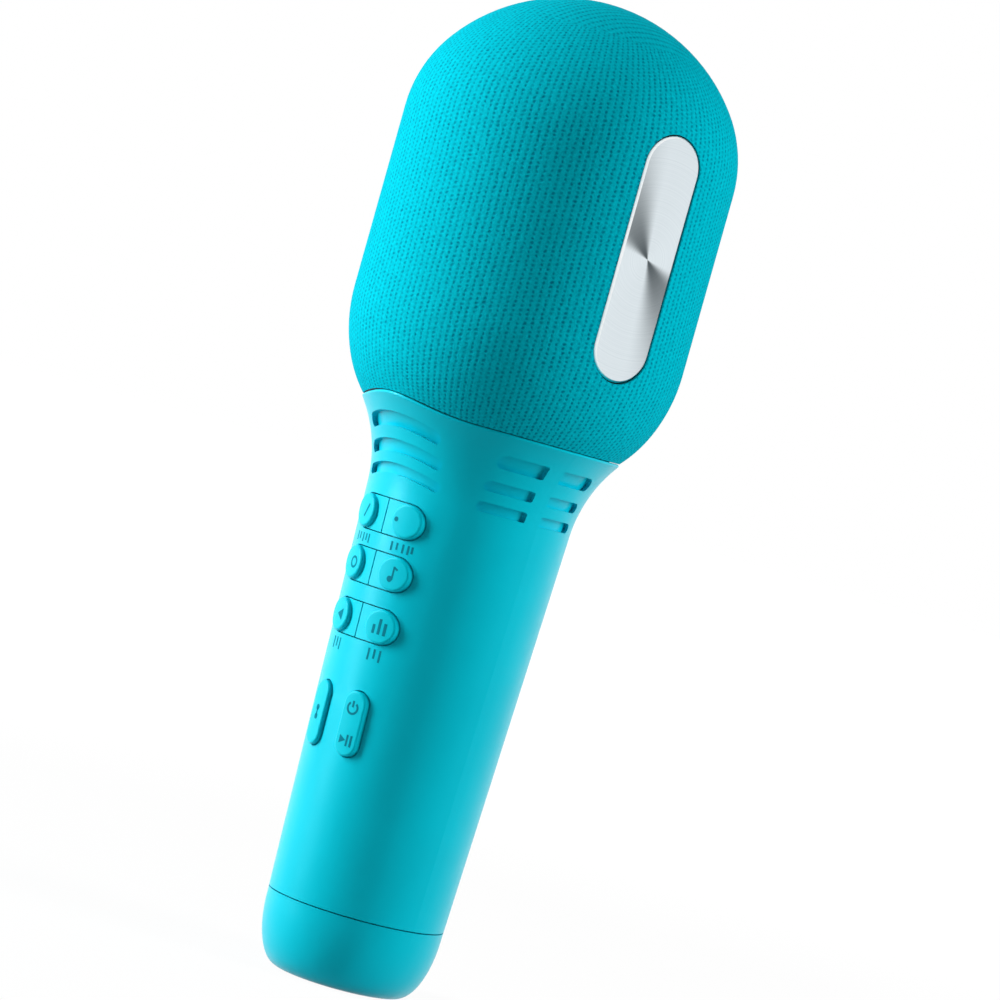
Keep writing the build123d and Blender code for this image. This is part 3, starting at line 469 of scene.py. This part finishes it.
def mapStitches(piece, outline):
    # one unit of the map for each column round the head, and for each step along its outline upwards
    mesh = piece.data
    layer = mesh.uv_layers.new(name="stitches")
    for face in mesh.polygons:
        middle = math.atan2(face.center.x, -face.center.y) / (2 * math.pi)
        for loop in face.loop_indices:
            spot = mesh.vertices[mesh.loops[loop].vertex_index].co
            turn = math.atan2(spot.x, -spot.y) / (2 * math.pi)
            if math.hypot(spot.x, spot.y) < sleeve["pole"]:
                turn = middle
            turn += round(middle - turn)
            run = min(outline, key=lambda ring: abs(ring[1] - spot.z))[2]
            layer.data[loop].uv = (turn * knit["columns"], run / knit["rise"])


def fitToCollar(piece):
    # the cloth's foot follows the collar's hump and turns in a little behind its edge
    for vertex in piece.data.vertices:
        above = vertex.co.z - head["seam"]
        if above > head["blendHeight"]:
            continue
        share = 1 - above / head["blendHeight"]
        height = vertex.co.z + humpAt(vertex.co.x, vertex.co.y) * share
        angle = math.asin(min(1.0, max(0.0, (head["bowlTop"] - height) / head["bowlRadius"])))
        radius = bowlPoint(angle)[0] - head["collarTuck"] * share ** 3
        flat = math.hypot(vertex.co.x, vertex.co.y)
        foot = height + head["collarGap"] * share
        vertex.co = Vector((vertex.co.x * radius / flat, vertex.co.y * radius / flat, foot))


def plateCutter():
    # a rounded bar through the side, a little larger than the plate, turned as the plate is
    low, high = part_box("side_plate")
    half = (high.y - low.y) / math.cos(plateTurn) / 2 + sleeve["plateGap"]
    straight = (high.z - low.z) / 2 + sleeve["plateGap"] - half
    startFresh()
    bpy.ops.mesh.primitive_cylinder_add(vertices=sleeve["holeCorners"], radius=half,
                                        depth=sleeve["holeDepth"], rotation=(0, math.pi / 2, 0))
    cutter = bpy.context.object
    placeInMesh()
    for vertex in cutter.data.vertices:
        vertex.co.z += straight if vertex.co.z > 0 else -straight
        vertex.co.x += head["radius"]
    cutter.rotation_euler = (0, 0, -plateTurn)
    cutter.location = (0, 0, (low.z + high.z) / 2)
    placeInMesh()
    return cutter


cloth = headCloth()
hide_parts("fabric_sleeve")
print("cloth made")


ink = {
    "line": 0.00055,
    "start": 0.038, "lift": 0.00003,                 # from in front of the handle down to just above it
    "cuts": 2, "barSteps": (3, 6), "hoopCorners": 40, "discCorners": 20,
}


def bar(x, z, width, height, turn=0.0):
    across, along = ink["barSteps"]
    bpy.ops.mesh.primitive_grid_add(x_subdivisions=across, y_subdivisions=along, size=1)
    piece = bpy.context.object
    piece.scale = (width, height, 1)
    piece.rotation_euler = (0, 0, turn)
    piece.location = (x, z, 0)
    return piece


def hoop(radius, opening=0.0):
    # a flat ring, open at its top by an angle
    outer, inner = radius + ink["line"] / 2, radius - ink["line"] / 2
    bpy.ops.mesh.primitive_circle_add(vertices=ink["hoopCorners"], radius=outer, fill_type="NOTHING")
    piece = bpy.context.object
    bpy.ops.object.mode_set(mode="EDIT")
    bpy.ops.mesh.select_all(action="SELECT")
    bpy.ops.mesh.extrude_region_move()
    bpy.ops.transform.resize(value=(inner / outer, inner / outer, 1))
    bpy.ops.mesh.select_all(action="SELECT")
    bpy.ops.mesh.normals_make_consistent(inside=False)
    bpy.ops.mesh.select_all(action="DESELECT")
    bpy.ops.object.mode_set(mode="OBJECT")
    if opening:
        for face in piece.data.polygons:
            face.select = abs(math.atan2(face.center.x, face.center.y)) < opening / 2
        bpy.ops.object.mode_set(mode="EDIT")
        bpy.ops.mesh.delete(type="FACE")
        bpy.ops.object.mode_set(mode="OBJECT")
    return piece


def disc(x, z, radius, corners=ink["discCorners"], turn=0.0):
    bpy.ops.mesh.primitive_circle_add(vertices=corners, radius=radius, fill_type="NGON")
    piece = bpy.context.object
    piece.rotation_euler = (0, 0, turn)
    piece.location = (x, z, 0)
    return piece


def wedge(x, radius, turn):
    return disc(x, 0, radius, 3, turn)


def printMark(name, strokes, x, z, body):
    # strokes drawn flat, turned to the front and laid on the key or the handle
    takeHold(strokes[0])
    for stroke in strokes:
        stroke.select_set(True)
    if len(strokes) > 1:
        bpy.ops.object.join()
    piece = bpy.context.object
    placeInMesh()
    piece.rotation_euler = (math.pi / 2, 0, 0)
    piece.location = (x, -ink["start"], z)
    placeInMesh()
    bpy.ops.object.mode_set(mode="EDIT")
    bpy.ops.mesh.select_all(action="SELECT")
    bpy.ops.mesh.quads_convert_to_tris()
    bpy.ops.mesh.subdivide(number_cuts=ink["cuts"])
    bpy.ops.object.mode_set(mode="OBJECT")
    target = frame["nodes"]["handle_shell" if body == root else body]
    applyModifier(piece, "SHRINKWRAP", wrap_method="PROJECT", target=target, use_project_y=True,
                  use_positive_direction=True, use_negative_direction=False, offset=ink["lift"])
    finishPiece(piece, name, body, markInk)


# plain pictograms: power, play and pause, a small dumbbell, a dot, a note, level bars,
# and on the left-hand keys a slash, a ring and a triangle
powerSign = {
    "radius": 0.00138, "opening": math.radians(70),
    "stem": 0.0016, "stemRise": 0.0010, "rise": 0.00375,
}


def powerMark():
    startFresh()
    strokes = [hoop(powerSign["radius"], powerSign["opening"]),
               bar(0, powerSign["stemRise"], ink["line"], powerSign["stem"])]
    printMark("power_mark", strokes, pillOffset, pillHeight + powerSign["rise"], "power_key")


playSign = {"wedge": 0.00122, "wedgeX": -0.0010, "bars": (0.0006, 0.00165), "tall": 0.0028, "below": 0.0041}


def playMark():
    startFresh()
    strokes = [wedge(playSign["wedgeX"], playSign["wedge"], -math.pi / 2)]
    strokes += [bar(x, 0, ink["line"], playSign["tall"]) for x in playSign["bars"]]
    printMark("play_mark", strokes, pillOffset, pillHeight - playSign["below"], "power_key")


modeSign = {"ball": 0.00075, "rise": 0.0011, "stem": 0.0022}


def modeMark():
    startFresh()
    strokes = [disc(0, modeSign["rise"], modeSign["ball"]), disc(0, -modeSign["rise"], modeSign["ball"]),
               bar(0, 0, ink["line"], modeSign["stem"])]
    printMark("mode_mark", strokes, -pillOffset, pillHeight, "mode_key")


dotSign = {"radius": 0.0006, "x": 0.0051}


def dotMark():
    startFresh()
    strokes = [disc(0, 0, dotSign["radius"])]
    printMark("dot_mark", strokes, dotSign["x"], rowHeights["upper"], "upper_right_key")


noteSign = {
    "x": 0.0078,
    "head": (-0.0005, -0.0013, 0.00075),             # x, z and radius
    "stem": (0.00012, 0.0002, 0.00045, 0.0032),      # x, z, width and height
    "flag": (0.0006, 0.0014, 0.0012, 0.0005, -0.5),  # and how it leans
}


def noteMark():
    startFresh()
    strokes = [disc(*noteSign["head"]), bar(*noteSign["stem"]), bar(*noteSign["flag"])]
    printMark("note_mark", strokes, noteSign["x"], rowHeights["middle"], "middle_right_key")


levelSign = {
    "x": 0.0079, "width": 0.00075,
    "bars": ((-0.0015, -0.0008, 0.0022), (0, 0, 0.0038), (0.0015, -0.0004, 0.0030)),        # x, z and height
}


def levelMark():
    startFresh()
    strokes = [bar(x, z, levelSign["width"], height) for x, z, height in levelSign["bars"]]
    printMark("level_mark", strokes, levelSign["x"], rowHeights["lower"], "lower_right_key")


leftSigns = {"slash": 0.0036, "lean": -0.45, "ring": 0.00125, "wedge": 0.0017}


def leftMarks():
    startFresh()
    slash = bar(0, 0, ink["line"], leftSigns["slash"], leftSigns["lean"])
    printMark("slash_mark", [slash], -padOffset, rowHeights["upper"], "upper_left_key")
    startFresh()
    printMark("ring_mark", [hoop(leftSigns["ring"])], -padOffset, rowHeights["middle"], "middle_left_key")
    startFresh()
    triangle = wedge(0, leftSigns["wedge"], math.pi / 2)
    printMark("wedge_mark", [triangle], -padOffset, rowHeights["lower"], "lower_left_key")


label = {
    "upper": {"below": 0.0065, "tall": 0.0022, "short": 0.0017, "shortRise": 0.0002},
    "lower": {"below": 0.0070, "tall": 0.0029, "short": 0.0023, "shortRise": 0.0003},
}


def labelBars(name, row, tall, short):
    # upright bars under a key, in place of a word, some of them shorter
    size = label[row]
    startFresh()
    strokes = []
    for x in sorted(tall + short):
        if x in tall:
            strokes.append(bar(x, 0, ink["line"], size["tall"]))
        else:
            strokes.append(bar(x, size["shortRise"], ink["line"], size["short"]))
    printMark(name, strokes, 0, rowHeights[row] - size["below"], root)


for makeMark in (powerMark, playMark, modeMark, dotMark, noteMark, levelMark, leftMarks):
    makeMark()
labelBars("upper_right_label", "upper", tall=(0.0045, 0.0078, 0.0092), short=(0.0061, 0.0102))
labelBars("upper_left_label", "upper", tall=(-0.0103, -0.0070, -0.0042), short=(-0.0087, -0.0055))
labelBars("lower_right_label", "lower", tall=(0.0056, 0.0087), short=(0.0072,))
labelBars("lower_left_label", "lower", tall=(-0.0086, -0.0055), short=(-0.0070,))
print("marks made")


def seenRays(tree):
    # 1 for a ray from the camera, off a mirror or through a clear piece, and 0 for the light's own rays
    path = tree.nodes.new("ShaderNodeLightPath").outputs
    seen = path["Is Camera Ray"]
    for kind in ("Is Glossy Ray", "Is Transmission Ray"):
        either = tree.nodes.new("ShaderNodeMath")
        either.operation = "MAXIMUM"
        tree.links.new(seen, either.inputs[0])
        tree.links.new(path[kind], either.inputs[1])
        seen = either.outputs[0]
    return seen


studio = {
    "size": 12, "drop": 0.0002,                      # the floor lies clear of the flat underside
    "tone": (0.4, 0.4, 0.4, 1), "roughness": 0.9, "glow": 1.06,
    "near": 0.3, "far": 1.0, "nearGlow": 0.9,        # near by, shadows show; far out, it is plain white
    "roomLight": 0.02,
}


def stageFloor():
    startFresh()
    bpy.ops.mesh.primitive_plane_add(size=studio["size"], location=(0, 0, -studio["drop"]))
    floor = bpy.context.object
    floor.name = "floor"
    recipe = Recipe("paleFloor")
    recipe.shader.inputs["Base Color"].default_value = studio["tone"]
    recipe.shader.inputs["Roughness"].default_value = studio["roughness"]
    white = recipe.add("ShaderNodeEmission")
    white.inputs["Strength"].default_value = studio["glow"]
    away = recipe.vector("LENGTH", recipe.place())
    plain = recipe.spread(away, studio["near"], studio["far"], studio["nearGlow"], 1)
    mix = recipe.add("ShaderNodeMixShader")
    recipe.join(recipe.math("MULTIPLY", seenRays(recipe.material.node_tree), plain), mix.inputs[0])
    recipe.join(recipe.shader.outputs[0], mix.inputs[1])
    recipe.join(white.outputs[0], mix.inputs[2])
    recipe.join(mix.outputs[0], recipe.nodes["Material Output"].inputs["Surface"])
    floor.data.materials.append(recipe.material)


def worldLight():
    world = bpy.data.worlds.new("studio")
    bpy.context.scene.world = world
    world.use_nodes = True
    tree = world.node_tree
    shade = tree.nodes["Background"]
    shade.inputs["Color"].default_value = (1, 1, 1, 1)
    level = tree.nodes.new("ShaderNodeMapRange")
    level.inputs["To Min"].default_value = studio["roomLight"]
    level.inputs["To Max"].default_value = 1.0
    tree.links.new(seenRays(tree), level.inputs["Value"])
    tree.links.new(level.outputs["Result"], shade.inputs["Strength"])


keyBox = {"azimuth": -38, "elevation": 8, "distance": 1.1, "width": 0.26, "height": 1.4, "power": 31}
fillBox = {"azimuth": 121, "elevation": 5, "distance": 1.4, "width": 0.6, "height": 2.6, "power": 39}


def softLight(name, azimuth, elevation, distance, width, height, power):
    # a soft box, aimed at the middle of the microphone; azimuth 0 is the key side, turning towards the plate
    middle = Vector((0, 0, (cadLow[2] + cadHigh[2]) / 2))
    turn, rise = math.radians(azimuth), math.radians(elevation)
    way = Vector((math.sin(turn) * math.cos(rise), -math.cos(turn) * math.cos(rise), math.sin(rise)))
    lamp = bpy.data.lights.new(name, "AREA")
    lamp.shape = "RECTANGLE"
    lamp.size = width
    lamp.size_y = height
    lamp.energy = power
    holder = bpy.data.objects.new(name, lamp)
    bpy.context.collection.objects.link(holder)
    holder.location = middle + way * distance
    holder.rotation_euler = (-way).to_track_quat("-Z", "Y").to_euler()
    return holder


view = {
    "azimuth": 48.0, "distance": 0.990, "height": 0.140, "roll": 15.7,
    "aimHeight": 0.1239, "aimRight": 0.0068,
    "sensor": 36, "focal": 4.055,                    # the focal length is in sensor widths
}


def addCamera():
    turn, roll = math.radians(view["azimuth"]), math.radians(view["roll"])
    spot = Vector((math.sin(turn), -math.cos(turn), 0)) * view["distance"] + Vector((0, 0, view["height"]))
    right = Vector((math.cos(turn), math.sin(turn), 0))
    aim = Vector((0, 0, view["aimHeight"])) + right * view["aimRight"]
    forward = (aim - spot).normalized()
    level = forward.cross(Vector((0, 0, 1))).normalized()
    up = level.cross(forward)
    tiltedRight = level * math.cos(roll) + up * math.sin(roll)
    tiltedUp = up * math.cos(roll) - level * math.sin(roll)
    data = bpy.data.cameras.new("camera")
    data.sensor_width = view["sensor"]
    data.lens = view["sensor"] * view["focal"]
    camera = bpy.data.objects.new("camera", data)
    bpy.context.collection.objects.link(camera)
    turnMatrix = Matrix((tiltedRight, tiltedUp, -forward)).transposed()
    camera.matrix_world = Matrix.Translation(spot) @ turnMatrix.to_4x4()
    bpy.context.scene.camera = camera


stageFloor()
worldLight()
softLight("keySoftBox", **keyBox)
fill = softLight("fillSoftBox", **fillBox)
fill.visible_glossy = False        # the metal mirrors the plain background
addCamera()
bpy.context.scene.view_settings.view_transform = "Standard"
print("stage set")
